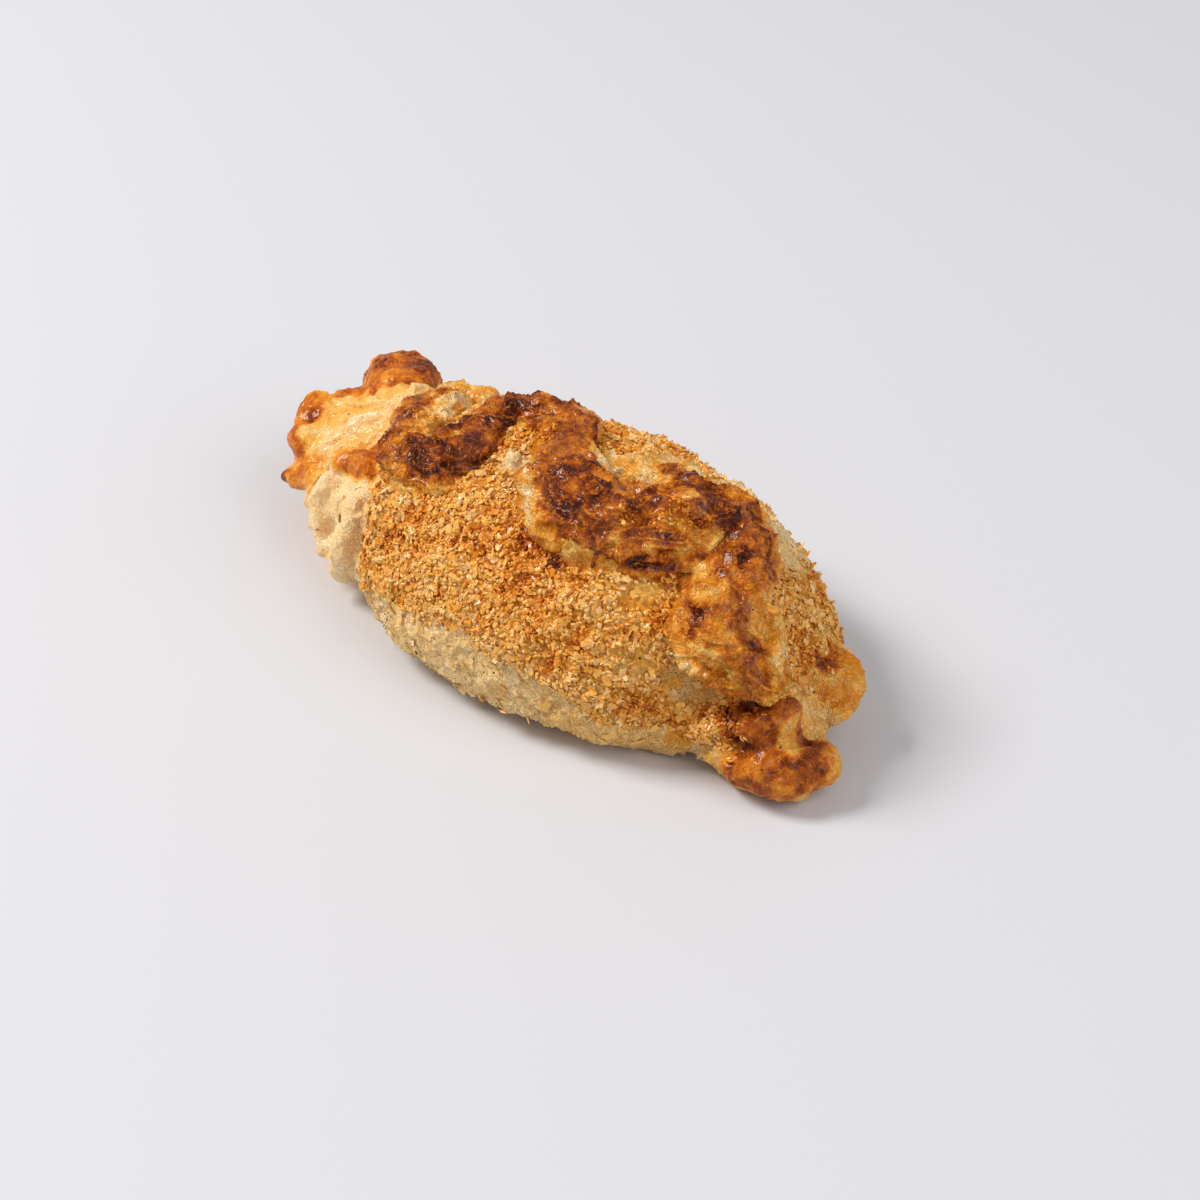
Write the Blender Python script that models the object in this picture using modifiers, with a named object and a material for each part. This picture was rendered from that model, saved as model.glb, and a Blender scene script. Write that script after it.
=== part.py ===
"""A baked pasty: a plump spindle of pastry, sealed along the top by a thick crimp that swings from side to side,
with both ends pinched flat and fanned out into lobes. It is one closed solid with a flat underside.

The long axis is X, the crimp's big fold leans towards -Y, and the origin is under the middle on the flat underside.
"""

import math

import bmesh
import bpy
from mathutils import Matrix, Vector

MM = 0.001

# The filled body, in millimetres, at even steps of a turn from its -X tip to its +X tip:
# (x, reach towards -Y, reach towards +Y, crown height). The underside lifts where the body is narrower than
# its full width.
BODY_STATIONS = (
    (-80, 2, 4, 20),
    (-76, 10, 18, 28),
    (-66, 18, 28, 37),
    (-52, 30, 37, 45),
    (-32, 42, 44, 51),
    (-10, 47, 48, 53),
    (14, 47, 50, 53),
    (36, 44, 48, 50),
    (53, 37, 43, 45),
    (65, 25, 36, 37),
    (75, 12, 28, 28),
    (79, 0, 12, 17),
)
BELLY_HEIGHT = 13
BELLY_DROP = 17
FULL_WIDTH = 58
SECTION_POWER = 2.2

# Each roll of dough is a chain of (x, y, z, radius) in millimetres.
CRIMP = (
    (-53, 1, 45, 6.5),
    (-45, -10, 45, 7.5),
    (-41, -18, 43, 8),
    (-29, -20, 45, 9.5),
    (-23, -17, 47, 9),
    (-22, -10, 50, 7.5),
    (-26, -3, 50, 7),
    (-25, 6, 50, 8),
    (-19, 11, 51, 8),
    (-9, 11, 52, 8),
    (-1, 3, 53, 9),
    (8, -6, 52, 11.5),
    (18, -12, 51, 13.5),
    (29, -12, 50, 14),
    (37, -6, 50, 13.5),
    (42, 2, 50, 12.5),
    (45, 12, 49, 10),
    (50, 14, 47, 8.5),
    (58, 7, 45, 9),
    (64, -3, 42, 10.5),
    (67, -12, 38, 11.5),
    (73, -10, 33, 10),
    (81, -10, 29, 7.5),
)
LEFT_FAN = (
    ((-66, 10, 26, 16), (-80, 17, 25, 12), (-93, 26, 26, 11.5)),
    ((-66, 8, 24, 15), (-84, 14, 21, 12), (-93, 16, 21, 9)),
    ((-66, 4, 24, 15), (-84, 8, 22, 11), (-96, 8, 23, 7.5)),
    ((-66, 1, 22, 15), (-84, 3, 21, 11), (-95, 3, 22, 7.5)),
    ((-66, -2, 22, 15), (-86, -2, 22, 10), (-98, -2, 24, 7)),
    ((-66, -4, 20, 14), (-82, -8, 20, 9), (-92, -11, 22, 6.5)),
    ((-72, -8, 18, 10), (-84, -14, 17, 6.5), (-92, -19, 14.5, 3)),
    ((-56, -8, 26, 12), (-65, -13, 28, 9)),
    ((-62, -10, 20, 10), (-73, -18, 19, 7.5), (-74, -17, 10, 7)),
    ((-52, -14, 26, 10), (-61, -22, 24, 8), (-61, -22, 14, 8.5), (-61, -19, 7, 7)),
    ((-42, -16, 30, 11), (-51, -24, 26, 9), (-50, -26, 17, 9.5), (-49, -24, 9, 9)),
)
RIGHT_FAN = (
    ((60, -10, 12, 13), (81, -14, 7.5, 9), (92, -13, 8.5, 10), (96, -6, 8.5, 8)),
    ((60, -2, 18, 12), (81, -9, 17, 8), (86, -8, 18, 7)),
    ((60, 4, 15, 13), (78, 2, 12, 9), (88, 3, 11, 5)),
    ((60, 10, 18, 14), (78, 8, 14, 9), (87, 9, 12, 6)),
    ((60, 14, 19, 13), (78, 12, 17, 9), (88, 13, 14, 6)),
    ((60, 18, 20, 12), (77, 14, 18, 9), (88, 15, 16, 5)),
)
# Height of a roll as a share of its width, and balls to each step of its chain.
ROLL_FLATNESS = 0.85
ROLL_STEPS = 6

SKIN_VOXEL = 1.2 * MM
SKIN_SMOOTHING = 4
TRIANGLE_BUDGET = 9400
SNAP = 0.1 * MM

CRUST_COLOUR = (0.55, 0.27, 0.09)
CRUST_ROUGHNESS = 0.6


def signed_power(value, power):
    """The power of a number, with the number's own sign."""
    return math.copysign(abs(value) ** power, value)


def eased(points, place):
    """The Catmull-Rom point at a place along the points, counted in whole and part steps."""
    last = len(points) - 1
    step = min(int(place), last - 1)
    share = place - step
    before, start, end, after = (points[min(max(step + k, 0), last)] for k in (-1, 0, 1, 2))
    blended = []
    for a, b, c, d in zip(before, start, end, after):
        linear = (c - a) * share
        square = (2 * a - 5 * b + 4 * c - d) * share**2
        cube = (3 * b - a - 3 * c + d) * share**3
        blended.append(0.5 * (2 * b + linear + square + cube))
    return blended


def add_body(mesh):
    """Adds the filled body: a ball on its side whose every ring becomes a domed section of its station."""
    ball = bmesh.ops.create_uvsphere(mesh, u_segments=64, v_segments=48, radius=1.0)
    last = len(BODY_STATIONS) - 1
    for vertex in ball["verts"]:
        turn = math.acos(max(-1.0, min(1.0, -vertex.co.z))) / math.pi
        x, front, back, crown = eased(BODY_STATIONS, turn * last)
        ring = max(1e-6, math.hypot(vertex.co.x, vertex.co.y))
        across = signed_power(vertex.co.x / ring, 2 / SECTION_POWER)
        up = signed_power(vertex.co.y / ring, 2 / SECTION_POWER)
        if ring < 1e-5:
            across = up = 0.0
        y = across * (back if across > 0 else front)
        drop = BELLY_DROP * min(1.0, (front + back) / FULL_WIDTH)
        z = BELLY_HEIGHT + up * (crown - BELLY_HEIGHT if up > 0 else drop)
        vertex.co = Vector((x, y, z)) * MM


def add_roll(mesh, points):
    """Adds a roll of dough along its points, as a chain of squashed balls close enough to fuse."""
    count = (len(points) - 1) * ROLL_STEPS
    for index in range(count + 1):
        x, y, z, radius = eased(points, index / ROLL_STEPS)
        place = Matrix.Translation(Vector((x, y, z)) * MM)
        size = Matrix.Diagonal((radius * MM, radius * MM, radius * MM * ROLL_FLATNESS, 1))
        bmesh.ops.create_icosphere(mesh, subdivisions=3, radius=1.0, matrix=place @ size)


def with_modifiers(source, name):
    """A new object from the source as its modifiers leave it. The source is removed."""
    graph = bpy.context.evaluated_depsgraph_get()
    mesh = bpy.data.meshes.new_from_object(source.evaluated_get(graph))
    bpy.data.objects.remove(source)
    return bpy.data.objects.new(name, mesh)


def fused_dough(collection):
    """The body and every roll fused under one skin, thinned to the triangle budget."""
    mesh = bmesh.new()
    add_body(mesh)
    for points in (CRIMP, *LEFT_FAN, *RIGHT_FAN):
        add_roll(mesh, points)
    data = bpy.data.meshes.new("dough")
    mesh.to_mesh(data)
    mesh.free()
    dough = bpy.data.objects.new("dough", data)
    collection.objects.link(dough)
    skin = dough.modifiers.new("skin", "REMESH")
    skin.mode = "VOXEL"
    skin.voxel_size = SKIN_VOXEL
    smooth = dough.modifiers.new("smooth", "SMOOTH")
    smooth.factor = 0.5
    smooth.iterations = SKIN_SMOOTHING
    skinned = with_modifiers(dough, "skinned")
    collection.objects.link(skinned)
    thin = skinned.modifiers.new("thin", "DECIMATE")
    thin.ratio = min(1.0, TRIANGLE_BUDGET / (2 * len(skinned.data.polygons)))
    return with_modifiers(skinned, "pasty")


def set_down(pasty):
    """Cuts the underside flat at floor level, closes it, and centres the solid over the origin."""
    mesh = bmesh.new()
    mesh.from_mesh(pasty.data)
    cut = bmesh.ops.bisect_plane(
        mesh,
        geom=mesh.verts[:] + mesh.edges[:] + mesh.faces[:],
        dist=SNAP,
        plane_co=(0, 0, 0),
        plane_no=(0, 0, 1),
        clear_inner=True,
    )
    for vertex in mesh.verts:
        if vertex.co.z < SNAP:
            vertex.co.z = 0.0
    rim = [item for item in cut["geom_cut"] if isinstance(item, bmesh.types.BMEdge)]
    bmesh.ops.contextual_create(mesh, geom=rim)
    bmesh.ops.triangulate(mesh, faces=mesh.faces[:])
    bmesh.ops.recalc_face_normals(mesh, faces=mesh.faces[:])
    middle = [sum(span(mesh, axis)) / 2 for axis in range(2)]
    bmesh.ops.translate(mesh, verts=mesh.verts[:], vec=(-middle[0], -middle[1], 0))
    mesh.to_mesh(pasty.data)
    mesh.free()


def span(mesh, axis):
    """The lowest and highest coordinate of a mesh along an axis."""
    places = [vertex.co[axis] for vertex in mesh.verts]
    return min(places), max(places)


def baked_crust():
    """Golden baked pastry."""
    material = bpy.data.materials.new("baked_crust")
    material.use_nodes = True
    shader = material.node_tree.nodes["Principled BSDF"]
    shader.inputs["Base Color"].default_value = (*CRUST_COLOUR, 1)
    shader.inputs["Roughness"].default_value = CRUST_ROUGHNESS
    shader.inputs["Metallic"].default_value = 0.0
    return material


def main():
    """Builds the pasty in an empty scene."""
    for item in list(bpy.data.objects):
        bpy.data.objects.remove(item)
    collection = bpy.data.collections.new("pasty")
    bpy.context.scene.collection.children.link(collection)
    pasty = fused_dough(collection)
    collection.objects.link(pasty)
    set_down(pasty)
    pasty.data.materials.clear()
    pasty.data.materials.append(baked_crust())


main()
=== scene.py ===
"""A whole baked pasty: flaky crust, glossy wavy crimp, toasted crumbs, loose flakes and charred specks.

Shapes are worked out in millimetres on numpy arrays and become meshes in metres, in the frame of the solid.
"""

import logging
import math
from dataclasses import dataclass
from enum import Enum

import bmesh
import bpy
import numpy as np
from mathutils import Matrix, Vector


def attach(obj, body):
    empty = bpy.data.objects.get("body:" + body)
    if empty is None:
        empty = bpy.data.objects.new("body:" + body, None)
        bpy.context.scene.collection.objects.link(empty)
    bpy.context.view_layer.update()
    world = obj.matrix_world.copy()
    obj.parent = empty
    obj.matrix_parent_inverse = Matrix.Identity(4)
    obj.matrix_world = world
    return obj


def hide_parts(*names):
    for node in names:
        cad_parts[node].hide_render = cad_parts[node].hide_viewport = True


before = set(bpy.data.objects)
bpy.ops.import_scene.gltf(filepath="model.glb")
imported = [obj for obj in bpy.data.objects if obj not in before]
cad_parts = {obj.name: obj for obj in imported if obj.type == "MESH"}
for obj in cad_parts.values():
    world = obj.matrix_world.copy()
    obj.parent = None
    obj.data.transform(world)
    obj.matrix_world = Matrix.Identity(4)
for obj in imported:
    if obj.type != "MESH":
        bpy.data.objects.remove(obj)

Array = np.ndarray
Roll = tuple[tuple[float, float, float, float], ...]

MM = 0.001
NODE = "pasty"
BODY = "root"

# Large odd numbers that scatter neighbouring cells: for x, y, z and the seed, and for a second stir.
STIR = (374761393, 668265263, 1440662683, 1013904223)
SECOND_STIR = 1274126177

# Points handled in one go, a distance beyond all others, and the least weight at which bits still lie.
MOST_AT_ONCE = 20000
FAR = 99.0
LEAST_WEIGHT = 0.01

log = logging.getLogger("pasty")


# ---------------------------------------------------------------- numbers and noise


def smooth_step(low: float, high: float, values: Array) -> Array:
    """Goes smoothly from 0 at low to 1 at high, and low may be the larger one."""
    share = np.clip((values - low) / (high - low), 0.0, 1.0)
    return share * share * (3.0 - 2.0 * share)


def hashed(cells: Array, seed: int) -> Array:
    """An even random value in 0..1 for each whole-number cell.

    Args:
        cells: whole numbers, three to a row.
        seed: picks one of many independent fields.

    Returns:
        One value for each row.
    """
    cell = cells.astype(np.int64)
    mixed = cell[..., 0] * STIR[0] + cell[..., 1] * STIR[1] + cell[..., 2] * STIR[2] + seed * STIR[3]
    mixed = (mixed ^ (mixed >> 13)) * SECOND_STIR
    mixed = mixed ^ (mixed >> 16)
    return (mixed & 0xFFFFFF) / float(0x1000000)


def soft_noise(points: Array, size: float, seed: int) -> Array:
    """Smooth noise in -1..1 whose bumps are about size across.

    Args:
        points: places in millimetres, three to a row.
        size: the distance between neighbouring bumps.
        seed: picks one of many independent fields.

    Returns:
        One value for each place.
    """
    spot = points / size
    cell = np.floor(spot)
    share = spot - cell
    share = share * share * share * (share * (share * 6.0 - 15.0) + 10.0)
    total = np.zeros(len(points))
    for corner in np.ndindex(2, 2, 2):
        offset = np.array(corner)
        weight = np.prod(np.where(offset == 1, share, 1.0 - share), axis=1)
        total += weight * hashed(cell + offset, seed)
    return total * 2.0 - 1.0


def layered_noise(points: Array, size: float, seed: int, octaves: int = 3) -> Array:
    """Several soft noises on top of each other, each half as large and half as strong as the last.

    Args:
        points: places in millimetres.
        size: the size of the largest bumps.
        seed: picks one of many independent fields.
        octaves: how many noises are added.

    Returns:
        One value for each place, in about -1..1.
    """
    total = np.zeros(len(points))
    for octave in range(octaves):
        total += soft_noise(points, size / 2**octave, seed + octave) / 2**octave
    return total / (2.0 - 0.5 ** (octaves - 1)) * 1.6


def pebbles(points: Array, size: float, seed: int) -> tuple[Array, Array]:
    """Splits space into rounded cells, one around each scattered seed point.

    Args:
        points: places in millimetres.
        size: the distance between neighbouring seed points.
        seed: picks one of many independent fields.

    Returns:
        The distance to the nearest seed point as a share of size, and a random value in 0..1 for its cell.
    """
    spot = points / size
    cell = np.floor(spot)
    near = np.full(len(points), FAR)
    value = np.zeros(len(points))
    for corner in np.ndindex(3, 3, 3):
        neighbour = cell + np.array(corner) - 1
        inside = np.stack([hashed(neighbour, seed + axis) for axis in range(3)], axis=1)
        distance = np.linalg.norm(neighbour + inside - spot, axis=1)
        closer = distance < near
        value = np.where(closer, hashed(neighbour, seed + 3), value)
        near = np.where(closer, distance, near)
    return near, value


def crests(points: Array, size: float, seed: int, narrow: float = 5.0) -> Array:
    """Thin curly ridges of soft noise, 0 between them and 1 along their tops.

    Args:
        points: places in millimetres.
        size: how far apart the ridges are.
        seed: picks the pattern.
        narrow: how thin they are.

    Returns:
        One value for each point.
    """
    return (1.0 - np.minimum(narrow * np.abs(soft_noise(points, size, seed)), 1.0)) ** 1.4


def terraces(values: Array, steps: float, sharpness: float) -> Array:
    """Turns a smooth field into flat steps with short risers, like the edges of thin layers.

    Args:
        values: the smooth field.
        steps: how many steps there are to one unit of it.
        sharpness: how much of each step is flat, as a share.

    Returns:
        The stepped field.
    """
    scaled = values * steps
    floor = np.floor(scaled)
    return (floor + smooth_step(sharpness, 1.0, scaled - floor)) / steps


# ---------------------------------------------------------------- meshes


@dataclass
class Skin:
    """A mesh as arrays: points and normals in millimetres, and the object that owns them."""

    piece: bpy.types.Object
    points: Array
    normals: Array

    @classmethod
    def of(cls, piece: bpy.types.Object) -> "Skin":
        """Reads an object's mesh.

        Args:
            piece: the object.

        Returns:
            Its skin.
        """
        return cls(piece, cls.read(piece, "co") / MM, cls.read(piece, "normal"))

    @staticmethod
    def read(piece: bpy.types.Object, what: str) -> Array:
        """Reads one vector for each point of an object's mesh.

        Args:
            piece: the object.
            what: the vector's name in Blender.

        Returns:
            The vectors, three numbers to a row.
        """
        values = np.empty(len(piece.data.vertices) * 3)
        piece.data.vertices.foreach_get(what, values)
        return values.reshape(-1, 3)

    def push(self, heights: Array) -> None:
        """Moves every point along its normal, in millimetres, and keeps what stood on the floor on it.

        Args:
            heights: how far each point moves.
        """
        self.points += self.normals * heights[:, None]
        self.points[:, 2] = np.maximum(self.points[:, 2], 0.0)
        self.store()

    def store(self) -> None:
        """Writes the points back to the mesh and reads its new normals."""
        self.piece.data.vertices.foreach_set("co", (self.points * MM).ravel())
        self.piece.data.update()
        self.normals = self.read(self.piece, "normal")

    def paint(self, name: str, values: Array) -> None:
        """Keeps one number for each point under a name that materials read."""
        layer = self.piece.data.attributes.new(name, "FLOAT", "POINT")
        layer.data.foreach_set("value", values.astype(np.float32))

    def triangles(self) -> Array:
        """Lists the mesh's triangles.

        Returns:
            Three point numbers to a row.
        """
        mesh = self.piece.data
        mesh.calc_loop_triangles()
        corners = np.empty(len(mesh.loop_triangles) * 3, dtype=np.int64)
        mesh.loop_triangles.foreach_get("vertices", corners)
        return corners.reshape(-1, 3)


def added(name: str, data: bpy.types.ID) -> bpy.types.Object:
    """Makes an object and links it to the scene.

    Args:
        name: its name.
        data: its mesh, camera or light.

    Returns:
        The object.
    """
    result = bpy.data.objects.new(name, data)
    bpy.context.scene.collection.objects.link(result)
    return result


def with_modifiers(source: bpy.types.Object, name: str) -> bpy.types.Object:
    """A new object from the source as its modifiers leave it.

    Args:
        source: the object with modifiers. It is removed.
        name: the new object's name.

    Returns:
        The new object, linked to the scene.
    """
    graph = bpy.context.evaluated_depsgraph_get()
    mesh = bpy.data.meshes.new_from_object(source.evaluated_get(graph))
    bpy.data.objects.remove(source)
    mesh.name = name
    return added(name, mesh)


def fine_skin(source: bpy.types.Object, name: str, voxel: float, smoothing: int) -> bpy.types.Object:
    """Rebuilds a closed mesh as one even, smooth skin.

    Args:
        source: the object to rebuild. It is removed.
        name: the new object's name.
        voxel: the new faces' size in millimetres.
        smoothing: how many rounds of smoothing follow.

    Returns:
        The new object.
    """
    remesh = source.modifiers.new("even skin", "REMESH")
    remesh.mode = "VOXEL"
    remesh.voxel_size = voxel * MM
    remesh.use_smooth_shade = True
    smooth = source.modifiers.new("smooth", "SMOOTH")
    smooth.factor = 0.5
    smooth.iterations = smoothing
    return with_modifiers(source, name)


def thinned(source: bpy.types.Object, most: int) -> bpy.types.Object:
    """The same skin with at most so many triangles, keeping them where the surface bends.

    Args:
        source: the object. It is removed.
        most: the most triangles.

    Returns:
        The new object.
    """
    count = sum(len(face.vertices) - 2 for face in source.data.polygons)
    name = source.name
    source.name = f"{name}_full"
    thin = source.modifiers.new("thin", "DECIMATE")
    thin.ratio = min(1.0, most / count)
    thin.use_collapse_triangulate = True
    return with_modifiers(source, name)


def eased(chain: Roll, place: float) -> Array:
    """The point on a smooth curve through a chain's points.

    Args:
        chain: rows of x, y, z and radius.
        place: how far along, counted in whole and part points.

    Returns:
        x, y, z and radius there.
    """
    rows = np.array(chain, dtype=float)
    last = len(rows) - 1
    step = min(int(place), last - 1)
    share = place - step
    before, start, end, after = (rows[min(max(step + k, 0), last)] for k in (-1, 0, 1, 2))
    straight = (end - before) * share
    square = (2 * before - 5 * start + 4 * end - after) * share**2
    cube = (3 * start - before - 3 * end + after) * share**3
    return 0.5 * (2 * start + straight + square + cube)


def rolled_dough(name: str, chains: tuple[Roll, ...], flatness: float, per_step: int,
                 body: bpy.types.Object | None = None) -> bpy.types.Object:
    """Rolls of dough, each a chain of squashed balls that a later skin fuses.

    Args:
        name: the object's name.
        chains: rows of x, y, z and radius in millimetres for each roll.
        flatness: height of a roll as a share of its width.
        per_step: balls to each step of a chain.
        body: a solid that the rolls lie on and whose shape they join. It stays as it is.

    Returns:
        The object, linked to the scene.
    """
    ball = bmesh.new()
    bmesh.ops.create_icosphere(ball, subdivisions=3, radius=1.0)
    ball.verts.index_update()
    unit = np.array([vertex.co[:] for vertex in ball.verts])
    faces = np.array([[vertex.index for vertex in face.verts] for face in ball.faces])
    ball.free()
    steps = [(chain, step / per_step) for chain in chains for step in range((len(chain) - 1) * per_step + 1)]
    rows = np.array([eased(chain, place) for chain, place in steps])
    sizes = rows[:, 3, None] * np.array((1.0, 1.0, flatness))
    points = (rows[:, None, :3] + unit[None] * sizes[:, None, :]) * MM
    corners = (faces[None] + np.arange(len(rows))[:, None, None] * len(unit)).reshape(-1, 3).tolist()
    places = points.reshape(-1, 3).tolist()
    if body is not None:
        start = len(places)
        places += [vertex.co[:] for vertex in body.data.vertices]
        corners += [[start + index for index in face.vertices] for face in body.data.polygons]
    data = bpy.data.meshes.new(name)
    data.from_pydata(places, [], corners)
    return added(name, data)


# ---------------------------------------------------------------- finishes


def linear(red: int, green: int, blue: int) -> tuple[float, float, float, float]:
    """A colour given as 8-bit screen values, as the shader wants it."""
    parts = [value / 255 for value in (red, green, blue)]
    return (*[part / 12.92 if part <= 0.04045 else ((part + 0.055) / 1.055) ** 2.4 for part in parts], 1.0)


class Bake(float, Enum):
    """How far the oven has taken the main parts, where 0 is raw cream and 1 is burnt."""

    PALE = 0.16
    BUTTER = 0.30
    GOLD = 0.44
    BROWN = 0.70


BAKE_COLOURS = {
    0.0: linear(254, 229, 188),
    0.14: linear(252, 209, 144),
    0.30: linear(250, 185, 84),
    0.44: linear(239, 147, 36),
    0.57: linear(192, 95, 18),
    0.70: linear(124, 52, 12),
    0.83: linear(70, 24, 8),
    0.94: linear(38, 13, 7),
    1.0: linear(24, 11, 7),
}


class Wiring:
    """Puts nodes in a tree and joins them."""

    def __init__(self, tree: bpy.types.NodeTree) -> None:
        """Keeps the tree."""
        self.tree = tree

    def add(self, kind: str, **settings: object) -> bpy.types.Node:
        """Adds a node.

        Args:
            kind: the node's type.
            settings: its settings by name.

        Returns:
            The node.
        """
        node = self.tree.nodes.new(kind)
        for label, value in settings.items():
            setattr(node, label, value)
        return node

    def placed(self, group: str, values: dict[str, float]) -> bpy.types.Node:
        """Places a group with its own values.

        Args:
            group: the group's name.
            values: the value of each input.

        Returns:
            The group's node.
        """
        node = self.add("ShaderNodeGroup", node_tree=bpy.data.node_groups[group])
        for label, value in values.items():
            node.inputs[label].default_value = value
        return node

    def painted(self, name: str) -> bpy.types.NodeSocket:
        """The number that a mesh has under this name at each point."""
        return self.add("ShaderNodeAttribute", attribute_name=name).outputs["Fac"]

    def noise(self, detail: float, roughness: float) -> bpy.types.Node:
        """Adds a noise that is fixed to the object.

        Args:
            detail: how many finer layers it has.
            roughness: how strong they are.

        Returns:
            The noise's node, without its scale.
        """
        node = self.add("ShaderNodeTexNoise")
        node.inputs["Detail"].default_value = detail
        node.inputs["Roughness"].default_value = roughness
        self.link(self.add("ShaderNodeTexCoord").outputs["Object"], node.inputs["Vector"])
        return node

    def math(self, operation: str, *values: object) -> bpy.types.NodeSocket:
        """Adds a math node.

        Args:
            operation: the node's operation.
            values: a socket or a number for each of its inputs.

        Returns:
            The socket with the result.
        """
        node = self.add("ShaderNodeMath", operation=operation)
        for socket, value in zip(node.inputs, values):
            if isinstance(value, bpy.types.NodeSocket):
                self.link(value, socket)
            else:
                socket.default_value = value
        return node.outputs[0]

    def link(self, source: bpy.types.NodeSocket, target: bpy.types.NodeSocket) -> None:
        """Joins two sockets."""
        self.tree.links.new(source, target)


class Group(Wiring):
    """A shader node group with named inputs and outputs."""

    def __init__(self, name: str, inputs: dict[str, float], outputs: dict[str, str]) -> None:
        """Makes an empty group.

        Args:
            name: the group's name.
            inputs: each input's name and default value.
            outputs: each output's name and socket type.
        """
        super().__init__(bpy.data.node_groups.new(name, "ShaderNodeTree"))
        for label, value in inputs.items():
            socket = self.tree.interface.new_socket(label, in_out="INPUT", socket_type="NodeSocketFloat")
            socket.default_value = value
        for label, kind in outputs.items():
            self.tree.interface.new_socket(label, in_out="OUTPUT", socket_type=kind)
        self.given = self.add("NodeGroupInput").outputs
        self.result = self.add("NodeGroupOutput").inputs


def baked_colour_group() -> None:
    """Makes the group for the colour of baked pastry: from its bake, with blotches and fine mottling."""
    inputs = {"Bake": 0.4, "Blotch Scale": 200.0, "Blotch": 0.1, "Mottle Scale": 900.0, "Mottle": 0.06}
    group = Group("BakedColour", inputs, {"Color": "NodeSocketColor", "Bake": "NodeSocketFloat"})
    bake = group.given["Bake"]
    for kind in ("Blotch", "Mottle"):
        noise = group.noise(3.0, 0.6)
        group.link(group.given[f"{kind} Scale"], noise.inputs["Scale"])
        swing = group.math("MULTIPLY_ADD", noise.outputs["Fac"], 2.0, -1.0)
        bake = group.math("MULTIPLY_ADD", swing, group.given[kind], bake)
    ramp = group.add("ShaderNodeValToRGB")
    stops = ramp.color_ramp.elements
    while len(stops) < len(BAKE_COLOURS):
        stops.new(0.5)
    for stop, (position, colour) in zip(stops, BAKE_COLOURS.items()):
        stop.position = position
        stop.color = colour
    group.link(bake, ramp.inputs["Fac"])
    group.link(ramp.outputs["Color"], group.result["Color"])
    group.link(bake, group.result["Bake"])


def pastry_grain_group() -> None:
    """Makes the group for the finest relief: curly wrinkles of thin skin, and tiny blisters between them.

    It puts out a height and a mask of the wrinkles' crests, both in about 0..1.
    """
    inputs = {"Wrinkle Scale": 300.0, "Curl": 1.2, "Blister Scale": 700.0, "Blister": 0.3}
    group = Group("PastryGrain", inputs, {"Height": "NodeSocketFloat", "Crest": "NodeSocketFloat"})
    layers = []
    for finer in (1.0, 2.3):
        noise = group.noise(2.0, 0.45)
        group.link(group.math("MULTIPLY", group.given["Wrinkle Scale"], finer), noise.inputs["Scale"])
        group.link(group.given["Curl"], noise.inputs["Distortion"])
        swing = group.math("MULTIPLY_ADD", noise.outputs["Fac"], 2.0, -1.0)
        valley = group.math("MULTIPLY", group.math("ABSOLUTE", swing), 6.0)
        crest = group.math("SUBTRACT", 1.0, group.math("MINIMUM", valley, 1.0))
        layers.append(group.math("POWER", crest, 1.5))
    wrinkles = group.math("MULTIPLY_ADD", layers[1], 0.45, layers[0])
    cells = group.add("ShaderNodeTexVoronoi", feature="SMOOTH_F1")
    group.link(group.add("ShaderNodeTexCoord").outputs["Object"], cells.inputs["Vector"])
    group.link(group.given["Blister Scale"], cells.inputs["Scale"])
    blisters = group.math("MULTIPLY", cells.outputs["Distance"], group.given["Blister"])
    group.link(group.math("SUBTRACT", wrinkles, blisters), group.result["Height"])
    group.link(group.math("MULTIPLY", wrinkles, 0.69), group.result["Crest"])


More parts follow.
